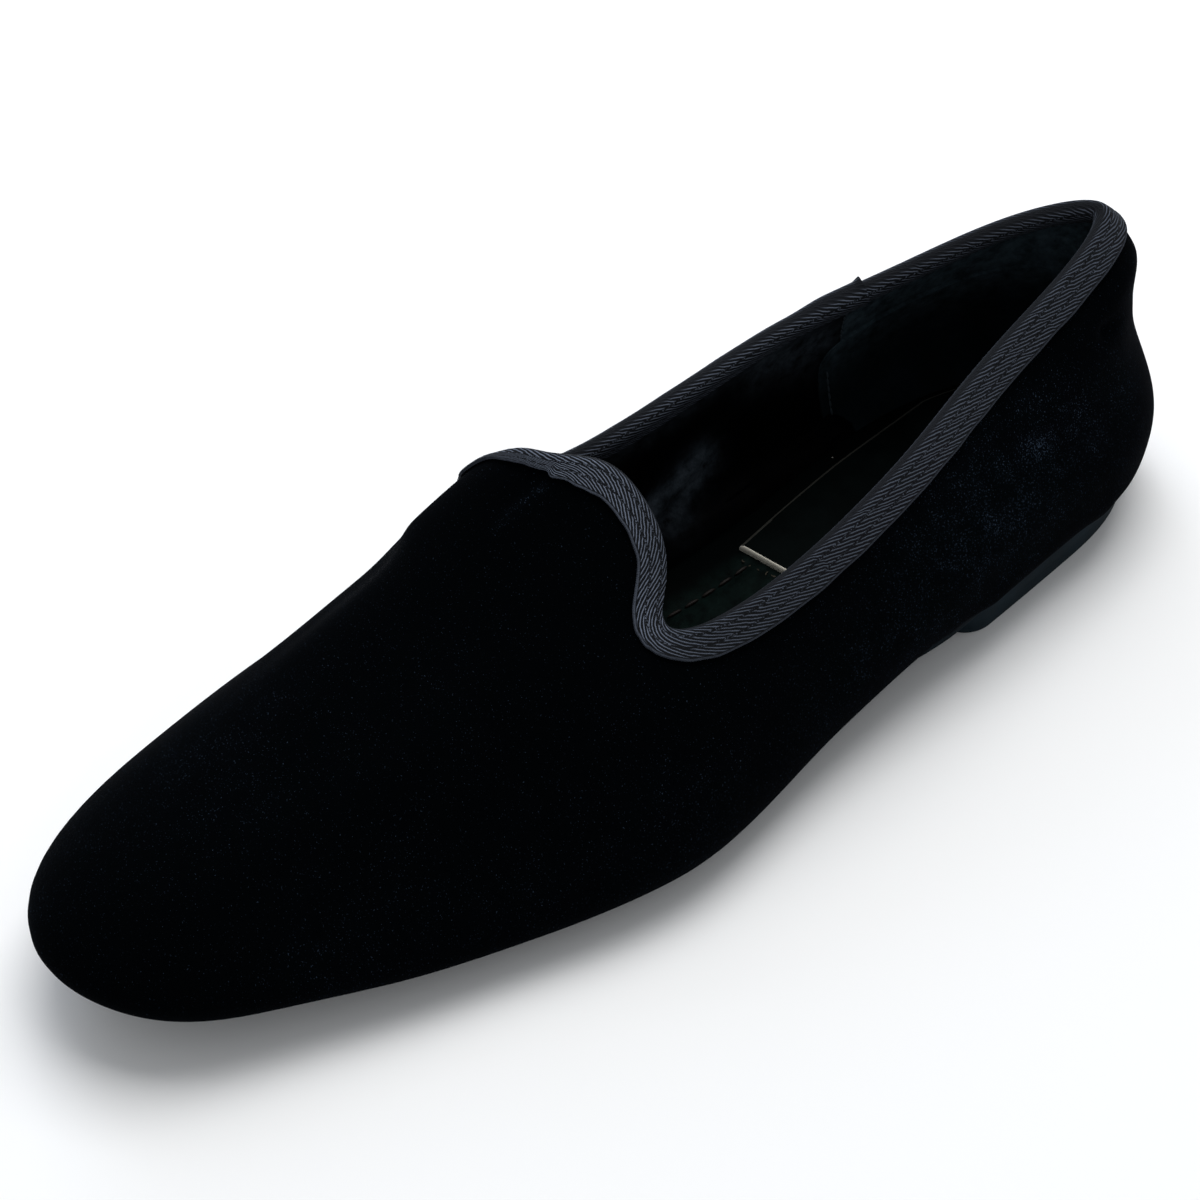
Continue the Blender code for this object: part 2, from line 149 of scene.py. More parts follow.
# How the wall swells on its way from the last's outline to the topline: at the bulge, the shoulder and the
# crown. In is the share of the way to the topline in plan, out the swelling as a share of BALL_WIDTH, and up
# the share of the rise.
SWELL = (
    # meridian,        bulge out, up,  shoulder in, out, up,    crown in, out, up
    ("toe tip",        0.041, 0.12,  0.05, 0.000, 0.28,  0.40, 0.000, 0.48),
    ("lateral toe",    0.046, 0.13,  0.06, 0.000, 0.30,  0.40, 0.000, 0.51),
    ("lateral cap",    0.058, 0.14,  0.12, 0.000, 0.37,  0.45, 0.000, 0.66),
    ("lateral vamp",   0.062, 0.16,  0.15, 0.000, 0.45,  0.50, 0.000, 0.79),
    ("lateral joint",  0.062, 0.18,  0.18, 0.012, 0.53,  0.55, 0.006, 0.86),
    ("lateral ball",   0.056, 0.25,  0.25, 0.025, 0.61,  0.60, 0.019, 0.89),
    ("lateral throat", 0.050, 0.27,  0.30, 0.037, 0.62,  0.65, 0.025, 0.87),
    ("lateral waist",  0.050, 0.28,  0.30, 0.044, 0.60,  0.65, 0.031, 0.84),
    ("lateral arch",   0.050, 0.28,  0.28, 0.050, 0.58,  0.65, 0.031, 0.82),
    ("lateral seat",   0.052, 0.28,  0.28, 0.052, 0.55,  0.65, 0.037, 0.80),
    ("lateral heel",   0.062, 0.26,  0.28, 0.036, 0.57,  0.64, 0.046, 0.84),
    ("heel back",      0.046, 0.26,  0.30, 0.024, 0.58,  0.66, 0.047, 0.85),
    ("medial heel",    0.056, 0.27,  0.28, 0.044, 0.57,  0.64, 0.042, 0.82),
    ("medial seat",    0.050, 0.28,  0.28, 0.050, 0.55,  0.65, 0.037, 0.80),
    ("medial arch",    0.056, 0.28,  0.30, 0.062, 0.58,  0.65, 0.037, 0.82),
    ("medial waist",   0.062, 0.28,  0.30, 0.062, 0.60,  0.65, 0.037, 0.84),
    ("medial throat",  0.062, 0.28,  0.30, 0.075, 0.60,  0.65, 0.050, 0.85),
    ("medial ball",    0.062, 0.28,  0.30, 0.070, 0.60,  0.65, 0.048, 0.85),
    ("medial joint",   0.062, 0.20,  0.20, 0.020, 0.46,  0.55, 0.012, 0.75),
    ("medial cap",     0.056, 0.15,  0.12, 0.012, 0.37,  0.45, 0.000, 0.56),
    ("medial toe",     0.050, 0.13,  0.06, 0.000, 0.30,  0.40, 0.000, 0.49),
)

# Folds of the upper in millimetres: each runs from start to end, is soft over its width, and sinks by its
# depth (a ridge has a negative depth).
FOLDS = (
    # fold,                     start,                end,                  width, depth
    ("dip at the notch",        (-10.4, -2.5, 67.0),  (-10.9, -8.0, 63.8),  2.0,   0.60),
    ("gather below the notch",  (-10.9, -8.0, 63.8),  (-11.2, -17.0, 59.5), 1.0,  -0.35),
    ("left of the gather",      (-13.2, -8.5, 63.5),  (-13.6, -17.0, 59.5), 1.5,   0.40),
    ("right of the gather",     (-8.6, -8.0, 64.0),   (-8.8, -16.0, 60.0),  1.5,   0.35),
    ("inner shoulder of tab",   (-26.0, -14.0, 55.5), (-27.0, -28.0, 50.0), 6.0,  -2.30),
    ("outer seat bulge",        (4.0, 127.0, 13.0),   (26.0, 104.0, 13.0),  5.5,  -1.70),
    ("outer seat bulge, front", (26.5, 98.0, 13.0),   (29.5, 69.0, 14.0),   5.0,  -1.50),
    ("its front end",           (29.8, 63.0, 14.0),   (30.5, 57.0, 14.5),   4.0,  -0.50),
    ("fold under the back rim", (0.0, 126.5, 47.5),   (13.5, 109.0, 51.0),  1.5,   1.90),
    ("tail of that fold",       (13.5, 109.0, 51.0),  (15.5, 95.0, 52.0),   3.0,   0.55),
    ("roll above the fold",     (1.0, 125.5, 54.0),   (12.5, 112.0, 57.0),  3.2,  -0.95),
    ("hollow at the throat",    (17.0, -6.0, 47.5),   (8.0, -24.0, 49.0),   5.5,   0.45),
    ("ball flex, outer",        (12.0, -30.0, 46.0),  (38.0, -18.0, 30.0),  7.0,   0.40),
    ("ball flex, inner",        (-30.0, -38.0, 40.0), (-41.0, -28.0, 26.0), 7.0,   0.45),
    ("quarter hollow",          (30.0, 34.0, 36.0),   (29.0, 62.0, 36.0),   7.5,   0.40),
    ("inner quarter hollow",    (-29.0, 24.0, 34.0),  (-33.0, 60.0, 34.0),  7.5,   0.45),
    ("counter edge, outer",     (24.0, 78.0, 42.0),   (31.0, 70.0, 20.0),   3.5,   0.25),
    ("counter edge, inner",     (-28.0, 82.0, 42.0),  (-34.0, 74.0, 20.0),  3.5,   0.25),
)

# Crumples of the thin lining leather inside the inner waist, in the same way; a ridge stands into the shoe.
CRUMPLES = (
    # crumple,                 start,               end,                 width, depth
    ("long ridge",             (-28.0, 22.0, 17.0), (-28.5, 38.0, 26.0), 1.9,   1.00),
    ("pit beside it",          (-28.0, 26.0, 15.0), (-28.0, 30.5, 17.5), 1.5,  -0.95),
    ("short ridge",            (-28.0, 31.0, 14.5), (-28.5, 37.0, 19.0), 1.6,   0.80),
    ("upper ripple",           (-28.0, 36.0, 29.0), (-29.0, 52.0, 33.0), 2.4,   0.50),
    ("lower ripple",           (-27.5, 40.0, 13.5), (-27.5, 56.0, 15.0), 1.8,   0.40),
    ("front ripple",           (-29.0, 12.0, 14.0), (-28.5, 22.0, 22.0), 2.2,   0.60),
    ("slack above the insole", (-25.5, 4.0, 11.0),  (-24.5, 46.0, 11.5), 4.5,   2.20),
    ("its end at the seat",    (-24.5, 46.0, 11.5), (-26.0, 72.0, 13.0), 4.0,   1.40),
)

# Where the velvet is dusty and where its sheen is painted as a paler colour, with a painted highlight along
# the gather's ridge: place in millimetres, radius and strength
DUST_AND_SHEEN_PATCHES = (
    # patch,               x,     y,     z,    radius, strength
    ("outer heel streak",  21.2,  86.1,  43.2, 7.0,    0.35),
    ("outer heel",         26.8,  76.0,  38.0, 20.0,   0.46),
    ("outer waist",        31.0,  54.0,  31.0, 20.0,   0.42),
    ("outer counter",      20.3, 106.0,  39.0, 15.0,   0.36),
    ("outer seat",         26.0,  92.0,  24.0, 15.0,   0.14),
    ("outer arch",         37.3,  26.0,  22.0, 20.0,   0.26),
    ("outer ball",         41.5, -16.0,  19.0, 20.0,   0.28),
    ("outer joint edge",   38.0, -50.0,  14.0, 16.0,   0.20),
    ("outer cap edge",     27.0, -84.0,  16.0, 18.0,   0.24),
    ("toe top",           -16.0, -84.5,  35.5, 22.0,   0.28),
    ("toe end",           -12.0, -122.0, 18.0, 20.0,   0.16),
    ("vamp",               10.0, -50.0,  42.0, 26.0,   0.12),
    ("inner joint",       -36.0, -44.0,  26.0, 20.0,   0.26),
    ("inner arch",        -31.0,  26.0,  26.0, 20.0,   0.24),
    ("inner heel",        -31.0,  76.0,  34.0, 22.0,   0.38),
    ("inner counter",     -22.0, 112.0,  36.0, 18.0,   0.35),
    # Painted highlight along the ridge of the gather below the notch
    ("gather, top",       -10.7,  -8.3,  63.5, 0.9,    0.90),
    ("gather, upper",     -10.9, -10.0,  62.0, 1.0,    0.85),
    ("gather, middle",    -10.9, -12.2,  61.1, 1.1,    0.72),
    ("gather, lower",     -11.0, -14.6,  60.2, 1.2,    0.58),
    ("gather, tail",      -11.1, -17.4,  59.2, 1.4,    0.42),
    ("gather, end",       -11.2, -20.2,  58.1, 1.5,    0.28),
)

# Painted light on the tape, where its ribs are painted paler: place in millimetres, radius and strength
TAPE_LIGHT_PATCHES = (
    # patch,                x,     y,    z,    radius, strength
    ("middle of the tab",  -9.0,  -4.0, 64.0, 15.0,   1.00),
    ("outer side of tab",   6.0, -10.0, 57.0, 13.0,   1.00),
    ("outer throat",       17.0,  -8.0, 49.0, 8.0,    0.70),
    ("inner quarter",     -29.0,  50.0, 52.0, 34.0,   0.40),
)

# Where the lining is painted paler: painted highlights on the crumples, and paler patches under the tape and
# ahead of it: place in millimetres, radius and strength
PALE_LINING_PATCHES = (
    # patch,             x,    y,    z,    radius, strength
    ("crumple, high",   -28.5, 38.0, 25.0, 4.5,    1.00),
    ("crumple, middle", -28.3, 33.0, 22.0, 4.0,    0.75),
    ("crumple, front",  -28.0, 26.0, 20.0, 4.0,    0.70),
    ("crumple, low",    -28.0, 30.0, 14.0, 4.0,    0.40),
    ("under the tape",  -29.6, 69.0, 40.0, 8.0,    0.55),
    ("ahead of that",   -28.6, 57.0, 43.0, 7.0,    0.45),
)

# Specks of lint inside the shoe, and crumbs of cement ahead of the sock's cut edge, in millimetres
LINT_PLACES = ((-22.8, 39.9, 10.7), (-21.4, 67.0, 13.4), (-21.3, 48.4, 12.1),
               (-16.0, 52.0, 12.9), (-9.0, 71.0, 13.8))
CEMENT_PLACES = ((-11.2, 35.9, 10.8), (-9.3, 36.3, 10.8), (-7.4, 37.0, 10.8),
                 (-5.6, 37.7, 10.8), (-4.0, 38.4, 10.7))


def smooth_step(value, start, end):
    share = np.clip((value - start) / (end - start), 0.0, 1.0)
    return share * share * (3.0 - 2.0 * share)


def sole_top(along):
    """Height of the outsole's upper face: flat at the seat and the tread, rising again to the toe."""
    fall = 1.0 - smooth_step(along, SEAT_END, TREAD_START)
    rise = np.clip((along - SPRING_START) / (1.0 - SPRING_START), 0.0, None)
    return SOLE_THICKNESS + (SEAT_HEIGHT - SOLE_THICKNESS) * fall + TOE_SPRING * rise ** 2


def smooth_curve(knots, values, at, closed):
    """Smooth cubic through the rows of values: a closed ring, or an open line with straight ends."""
    count = len(values)
    span = np.diff(knots)
    bend = np.zeros((count, count)) if closed else np.eye(count)
    pull = np.zeros(values.shape)
    for i in range(count) if closed else range(1, count - 1):
        after = (i + 1) % count
        bend[i, i - 1] = span[i - 1]
        bend[i, i] = 2.0 * (span[i - 1] + span[i])
        bend[i, after] = span[i]
        pull[i] = 6.0 * ((values[after] - values[i]) / span[i] - (values[i] - values[i - 1]) / span[i - 1])
    second = np.linalg.solve(bend, pull)
    cell = np.clip(np.searchsorted(knots, at, side="right") - 1, 0, len(span) - 1)
    after = (cell + 1) % count
    width = span[cell][:, None]
    a = (knots[cell + 1] - at)[:, None] / width
    b = 1.0 - a
    return (a * values[cell] + b * values[after]
            + ((a ** 3 - a) * second[cell] + (b ** 3 - b) * second[after]) * width ** 2 / 6.0)


def run_along(points):
    """Length along a line of points, from its first one."""
    return np.concatenate(([0.0], np.cumsum(np.linalg.norm(np.diff(points, axis=0), axis=1))))


def form_rings(count):
    """The last's outline, the topline, the outward direction in plan, and the swelling."""
    rows = np.array([form[1:] + swell[1:] for form, swell in zip(FORM, SWELL)])
    plan = np.column_stack((rows[:, 1] * BALL_WIDTH, (0.5 - rows[:, 0]) * LAST_LENGTH))
    knots = run_along(np.vstack((plan, plan[:1])))
    at = np.linspace(0.0, knots[-1], count, endpoint=False)
    ring = smooth_curve(knots, rows, at, True)
    last = np.column_stack((ring[:, 1] * BALL_WIDTH, (0.5 - ring[:, 0]) * LAST_LENGTH,
                            sole_top(ring[:, 0]) + CLEARANCE))
    topline = np.column_stack((ring[:, 3] * BALL_WIDTH, (0.5 - ring[:, 2]) * LAST_LENGTH,
                               ring[:, 4] * INSTEP_HEIGHT + ring[:, 5] * BACK_HEIGHT))
    forward = (np.roll(last, -1, axis=0) - np.roll(last, 1, axis=0))[:, :2]
    outward = np.column_stack((forward[:, 1], -forward[:, 0], np.zeros(count)))
    outward /= np.linalg.norm(outward, axis=1)[:, None]
    return last, topline, outward, ring[:, 6:]


def fine_surface(count, rows):
    """The upper's outer face as a grid: the feather line, the roll over it, the swelling and the topline."""
    last, topline, outward, swell = form_rings(count)
    way = topline - last
    up = np.array((0.0, 0.0, 1.0))
    nodes = [last - outward * FEATHER_INSET, last + outward * ROLL_OUT + up * ROLL_UP]
    out_only = np.zeros(count)
    stops = ((out_only, swell[:, 0], swell[:, 1]),
             (swell[:, 2], swell[:, 3], swell[:, 4]),
             (swell[:, 5], swell[:, 6], swell[:, 7]))
    for inward, out, rise in stops:
        shares = np.column_stack((inward, inward, rise))
        nodes.append(last + way * shares + outward * (out * BALL_WIDTH)[:, None])
    nodes.append(topline)
    nodes = np.array(nodes)
    grid = np.empty((rows, count, 3))
    for i in range(count):
        chords = np.linalg.norm(np.diff(nodes[:, i], axis=0), axis=1)
        knots = np.concatenate(([0.0], np.cumsum(chords ** CURVE_EASE)))
        grid[:, i] = smooth_curve(knots, nodes[:, i], np.linspace(0.0, knots[-1], rows), False)
    return grid


def surface_normals(grid):
    around = np.roll(grid, -1, axis=1) - np.roll(grid, 1, axis=1)
    upward = np.gradient(grid, axis=0)
    normal = np.cross(around, upward)
    return normal / np.linalg.norm(normal, axis=2)[:, :, None]


def fold_depth(points, folds):
    """How far the folds sink at each point, in metres."""
    depth = np.zeros(points.shape[:-1])
    for name, start, end, width, sink in folds:
        start = np.array(start) * MM
        way = np.array(end) * MM - start
        share = np.clip(((points - start) @ way) / (way @ way), 0.0, 1.0)
        away = np.linalg.norm(points - start - share[..., None] * way, axis=-1)
        depth += sink * MM * np.exp(-(away / (width * MM)) ** 2)
    return depth


def ripple(points, length, height):
    """Low waves in three directions, for cloth that isn't dead smooth."""
    turn = points * (2.0 * math.pi / length)
    waves = (np.sin(turn[..., 0] + 1.7 * np.sin(turn[..., 2] * 0.6))
             + np.sin(turn[..., 1] * 0.9 + 1.3 * np.sin(turn[..., 0] * 0.7) + 1.0)
             + np.sin(turn[..., 2] * 1.1 + 1.5 * np.sin(turn[..., 1] * 0.5) + 2.0))
    return waves * height / 3.0


class Wall:
    """The folded outer face of the upper, from which panels, tape, seams and stitches are laid out.

    Around is the share of the ring from the toe tip by the lateral side, drop the distance down the outer
    face from the rim, and depth the distance in from that face. A drop below zero is above the rim.
    """

    def __init__(self):
        grid = fine_surface(WALL_MERIDIANS, WALL_ROWS)
        low = grid.reshape(-1, 3).min(axis=0)
        high = grid.reshape(-1, 3).max(axis=0)
        self.shift = np.array(((low[0] + high[0]) / 2, (low[1] + high[1]) / 2, 0.0))
        grid = grid - self.shift
        normals = surface_normals(grid)
        sink = fold_depth(grid, FOLDS) + ripple(grid, 0.034, 0.00016)
        rolled = smooth_step(np.linspace(0.0, 1.0, WALL_ROWS), 0.02, 0.12)[:, None]
        grid = grid - normals * (sink * rolled)[:, :, None]
        self.points = grid[::-1]
        steps = np.linalg.norm(np.diff(self.points, axis=0), axis=2)
        self.drops = np.concatenate((np.zeros((1, WALL_MERIDIANS)), np.cumsum(steps, axis=0)))
        # Towards the feather line the wall's thickness turns level, as it does round the last's edge
        level = smooth_step(self.drops, self.drops[-1] - 0.0022, self.drops[-1])[:, :, None]
        outward = form_rings(WALL_MERIDIANS)[2]
        facing = surface_normals(grid)[::-1] * (1.0 - level) + outward * level
        self.normals = facing / np.linalg.norm(facing, axis=2)[:, :, None]

    def share_along(self, y):
        """The share of the last's length from the heel, at a place along the shoe."""
        return 0.5 - (y + self.shift[1]) / LAST_LENGTH

    def meridian(self, around):
        place = (around % 1.0) * WALL_MERIDIANS
        left = int(place) % WALL_MERIDIANS
        right = (left + 1) % WALL_MERIDIANS
        share = place - int(place)

        def blend(values):
            return values[:, left] * (1.0 - share) + values[:, right] * share

        return blend(self.points), blend(self.normals), blend(self.drops)

    def lengths(self, arounds):
        return np.array([self.meridian(around)[2][-1] for around in arounds])

    def lay(self, arounds, drops, depths):
        """Points at each around, with drops and depths as arrays of rows by arounds."""
        points = np.empty(drops.shape + (3,))
        for column, around in enumerate(arounds):
            line, normals, down = self.meridian(around)
            rise = line[0] - line[2]
            rise /= np.linalg.norm(rise)
            for axis in range(3):
                face = np.interp(drops[:, column], down, line[:, axis])
                normal = np.interp(drops[:, column], down, normals[:, axis])
                over = np.clip(-drops[:, column], 0.0, None) * rise[axis]
                points[:, column, axis] = face + over - normal * depths[:, column]
        return points

    def square_to_rim(self, arounds):
        """Drops, with how far each lies from the rim and how far round the rim the nearest place of it is."""
        rim = self.points[0]
        reached = run_along(np.vstack((rim, rim[:1])))
        down = np.linspace(0.0, 0.0150, 46)
        away = np.empty((len(down), len(arounds)))
        slip = np.empty((len(down), len(arounds)))
        places = self.lay(arounds, np.broadcast_to(down[:, None], away.shape), np.zeros(away.shape))
        for column, around in enumerate(arounds):
            apart = np.linalg.norm(places[:, column, None] - rim[None], axis=2)
            nearest = np.argmin(apart, axis=1)
            away[:, column] = np.maximum.accumulate(apart.min(axis=1))
            here = np.interp((around % 1.0) * WALL_MERIDIANS, np.arange(WALL_MERIDIANS + 1), reached)
            gap = reached[nearest] - here
            slip[:, column] = (gap + reached[-1] / 2) % reached[-1] - reached[-1] / 2
        return down, away, slip

    def around_near(self, place):
        """The share round the ring whose meridian's rim passes nearest a place in millimetres."""
        away = np.linalg.norm(self.points[0] - np.array(place) * MM, axis=1)
        return int(np.argmin(away)) / WALL_MERIDIANS

    def around_at(self, y, side, drop):
        """The share round the ring where the wall, at that drop, crosses y on the side (+1 is lateral)."""
        row = np.array([np.interp(drop, self.drops[:, i], self.points[:, i, 1])
                        for i in range(WALL_MERIDIANS)])
        back = int(np.argmax(row))
        indexes = np.arange(0, back) if side > 0 else np.arange(back, WALL_MERIDIANS)
        values = row[indexes] if side > 0 else row[indexes][::-1]
        shares = indexes if side > 0 else indexes[::-1]
        rising = np.maximum.accumulate(values)
        return float(np.interp(y, rising, shares)) / WALL_MERIDIANS


def linear(hex_code):
    """Linear colour from an sRGB hex value."""
    parts = [int(hex_code[i:i + 2], 16) / 255.0 for i in (1, 3, 5)]
    return tuple(c / 12.92 if c <= 0.04045 else ((c + 0.055) / 1.055) ** 2.4 for c in parts) + (1.0,)


def set_inputs(node, inputs):
    """Each input gets its value, or a link from a socket or from another node's first output."""
    for name, value in inputs.items():
        if isinstance(value, bpy.types.Node):
            value = next(socket for socket in value.outputs if socket.enabled)
        if isinstance(value, bpy.types.NodeSocket):
            node.id_data.links.new(value, node.inputs[name])
        else:
            node.inputs[name].default_value = value


def finish(name, colour, roughness, **shader):
    """A Principled material, its shader node, and the function that adds a node; shader names its sockets."""
    made = bpy.data.materials.new(name)
    made.use_nodes = True
    made.diffuse_color = linear(colour)
    surface = made.node_tree.nodes["Principled BSDF"]
    set_inputs(surface, {"Base Color": linear(colour), "Roughness": roughness})
    set_inputs(surface, {socket.replace("_", " "): value for socket, value in shader.items()})

    def add(kind, inputs, **settings):
        node = made.node_tree.nodes.new("ShaderNode" + kind)
        for setting, value in settings.items():
            setattr(node, setting, value)
        set_inputs(node, inputs)
        return node

    return made, surface, add


def cotton_velvet():
    """Black cotton velvet with a short cut pile that swallows light; the glints of single pile ends, its
    patchy sheen and its dust are painted into the base colour.
    """
    made, surface, add = finish("cotton_velvet", "#010203", 1.0, Specular_IOR_Level=0.01,
                                Sheen_Weight=0.008, Sheen_Roughness=0.4, Sheen_Tint=linear("#A9B6D6"))
    place = add("TexCoord", {}).outputs["Object"]
    dust_and_sheen = add("Attribute", {}, attribute_name="dust_and_sheen").outputs["Fac"]
    # Pile tufts are about 0.15 mm apart; they are drawn at 0.35 mm so that they show at this size
    tufts = add("TexNoise", {"Vector": place, "Scale": 3000.0, "Detail": 1.0, "Roughness": 0.6})
    drifts = add("TexNoise", {"Vector": place, "Scale": 140.0, "Detail": 5.0, "Roughness": 0.65})
    clouds = add("MapRange", {"Value": drifts, "From Min": 0.38, "From Max": 0.64,
                              "To Min": 0.30, "To Max": 1.10})
    patchy_dust_and_sheen = add("Math", {0: dust_and_sheen, 1: clouds}, operation="MULTIPLY")
    # Painted glints: single pile ends light up everywhere, and many more where the dust and sheen patches are
    # strong
    edge = add("Math", {0: patchy_dust_and_sheen, 1: -0.22, 2: 0.700}, operation="MULTIPLY_ADD")
    far = add("Math", {0: edge, 1: 0.22}, operation="ADD")
    painted_tip_glints = add("MapRange", {"Value": tufts, "From Min": edge, "From Max": far})
    dust_sheen_and_glints = add("Math", {0: patchy_dust_and_sheen, 1: 0.035, 2: painted_tip_glints}, operation="MULTIPLY_ADD")
    # The paler colour is the painted glints and sheen of the pile, with its dust
    colour = add("Mix", {"Factor": dust_sheen_and_glints, "A": linear("#010203"), "B": linear("#2D3846")}, data_type="RGBA")
    bump = add("Bump", {"Strength": 0.5, "Distance": 0.0002, "Height": tufts})
    set_inputs(surface, {"Base Color": colour, "Normal": bump})
    return made


def twill_tape():
    """Herringbone twill tape of matt cotton: slanting ribs 0.65 mm apart that turn back at each band."""
    made, surface, add = finish("herringbone_twill", "#2B2F35", 0.85, Specular_IOR_Level=0.10,
                                Sheen_Weight=0.03, Sheen_Tint=linear("#B8C4D8"))
    weave = add("UVMap", {}, uv_map="weave").outputs["UV"]
    split = add("SeparateXYZ", {"Vector": weave})
    along = split.outputs["X"]
    across = split.outputs["Y"]
    # Bands of 2.4 mm across the tape, with ribs 23 degrees off its length that step at each band's edge
    lean = math.radians(23.0)
    bands = add("Math", {0: across, 1: 1.0 / 2.4, 2: -0.075}, operation="MULTIPLY_ADD")
    band = add("Math", {0: bands}, operation="FLOOR")
    inside = add("Math", {0: bands}, operation="FRACT")
    rise = add("Math", {0: across, 1: math.cos(lean)}, operation="MULTIPLY")
    run = add("Math", {0: along, 1: -math.sin(lean), 2: rise}, operation="MULTIPLY_ADD")
    step = add("Math", {0: band, 1: 0.27, 2: run}, operation="MULTIPLY_ADD")
    wander = add("TexNoise", {"Vector": weave, "Scale": 0.8, "Detail": 2.0})
    drift = add("Math", {0: wander, 1: 0.30, 2: step}, operation="MULTIPLY_ADD")
    phase = add("Math", {0: drift, 1: 2.0 * math.pi / 0.65}, operation="MULTIPLY")
    wave = add("Math", {0: phase}, operation="SINE")
    rib = add("MapRange", {"Value": wave, "From Min": 0.0, "From Max": 0.95}, interpolation_type="SMOOTHSTEP")
    # The weft turns over along each reversal of the bands and leaves a row of dots there
    off = add("Math", {0: inside, 1: 0.5}, operation="SUBTRACT")
    middle = add("Math", {0: off}, operation="ABSOLUTE")
    turning = add("MapRange", {"Value": middle, "From Min": 0.37, "From Max": 0.43},
                  interpolation_type="SMOOTHSTEP")
    dots = add("TexVoronoi", {"Vector": weave, "Scale": 2.4, "Randomness": 0.7})
    dot = add("MapRange", {"Value": dots, "From Min": 0.15, "From Max": 0.50, "To Min": 1.0, "To Max": 0.0})
    height = add("Mix", {"Factor": turning, "A": rib, "B": dot})
    fuzz = add("TexNoise", {"Vector": weave, "Scale": 5.5, "Detail": 3.0, "Roughness": 0.7})
    lift = add("Math", {0: fuzz, 1: 0.60, 2: height}, operation="MULTIPLY_ADD")
    # The herringbone pattern as painted light and shade: pale, lit ribs and painted shade in the grooves
    # between them
    rib_light_and_groove_shade = add("MapRange", {"Value": lift, "From Min": 0.30, "From Max": 1.35})
    # The weave is pulled flat over the rim, and the selvedge is a smooth cord along the outer edge
    past = add("Math", {0: across, 1: 7.6}, operation="SUBTRACT")
    from_top = add("Math", {0: past}, operation="ABSOLUTE")
    rim = add("MapRange", {"Value": from_top, "From Min": 0.5, "From Max": 1.3, "To Min": 1.0, "To Max": 0.0},
              interpolation_type="SMOOTHSTEP")
    flat = add("Math", {0: fuzz, 1: 0.10}, operation="MULTIPLY")
    over_rim = add("Mix", {"Factor": rim, "A": rib_light_and_groove_shade, "B": flat})
    cord = add("MapRange", {"Value": across, "From Min": 0.30, "From Max": 0.42,
                            "To Min": 1.0, "To Max": 0.0})
    # Painted shade in the dip between the selvedge cord and the weave
    groove_shade = add("MapRange", {"Value": across, "From Min": 0.45, "From Max": 0.75})
    shaded = add("Math", {0: over_rim, 1: groove_shade}, operation="MULTIPLY")
    edged = add("Math", {0: cord, 1: 0.30, 2: shaded}, operation="MULTIPLY_ADD")
    # Painted light: the ribs are painted paler round the tab and the outer throat, where the tape faces up to
    # the overhead light, and a little on the inner quarter
    painted_light = add("Attribute", {}, attribute_name="painted_tape_light").outputs["Fac"]
    lit_rib_colour = add("Mix", {"Factor": painted_light, "A": linear("#454B56"), "B": linear("#6A7281")}, data_type="RGBA")
    colour = add("Mix", {"Factor": edged, "A": linear("#040507"), "B": lit_rib_colour}, data_type="RGBA")
    bump = add("Bump", {"Strength": 0.8, "Distance": 0.00018, "Height": lift})
    set_inputs(surface, {"Base Color": colour, "Normal": bump})
    return made


def grained_leather(name, colour, worn, roughness, grain_mm, relief, gloss, pale_colour=None):
    """Finished leather with fine pores and a slightly uneven colour clouded with dust, blended by a mark to a
    paler colour: painted highlights on the lining's crumples, a paler band below the rim, and the insole's
    own grey-green beside its painted shade.
    """
    made, surface, add = finish(name, colour, roughness, Specular_IOR_Level=gloss)
    place = add("TexCoord", {}).outputs["Object"]
    pores = add("TexVoronoi", {"Vector": place, "Scale": 1.0 / (grain_mm * MM)}, feature="DISTANCE_TO_EDGE")
    cloud = add("TexNoise", {"Vector": place, "Scale": 90.0, "Detail": 5.0, "Roughness": 0.6})
    dust = add("MapRange", {"Value": cloud, "From Min": 0.4, "From Max": 0.72})
    tint = add("Mix", {"Factor": dust, "A": linear(colour), "B": linear(worn)}, data_type="RGBA")
    if pale_colour:
        paleness = add("Attribute", {}, attribute_name="paleness").outputs["Fac"]
        fleck = add("TexNoise", {"Vector": place, "Scale": 300.0, "Detail": 6.0, "Roughness": 0.7})
        patch = add("MapRange", {"Value": fleck, "From Min": 0.30, "From Max": 0.75})
        pale_mix = add("Math", {0: paleness, 1: patch}, operation="MULTIPLY")
        tint = add("Mix", {"Factor": pale_mix, "A": tint, "B": linear(pale_colour)}, data_type="RGBA")
    dull = add("MapRange", {"Value": cloud, "From Min": 0.3, "From Max": 0.7, "To Min": roughness - 0.06,
               "To Max": roughness + 0.14})
    bump = add("Bump", {"Strength": relief, "Distance": 0.0001, "Height": pores})
    set_inputs(surface, {"Base Color": tint, "Roughness": dull, "Normal": bump})
    return made


def grid_faces(rows, columns, rows_close, columns_close):
    faces = []
    for row in range(rows if rows_close else rows - 1):
        below = (row + 1) % rows
        for column in range(columns if columns_close else columns - 1):
            after = (column + 1) % columns
            faces.append((row * columns + column, row * columns + after,
                          below * columns + after, below * columns + column))
    return faces


def new_object(name, data):
    """A mesh, light or camera placed in the scene under its name."""
    made = bpy.data.objects.new(name, data)
    bpy.context.scene.collection.objects.link(made)
    return made


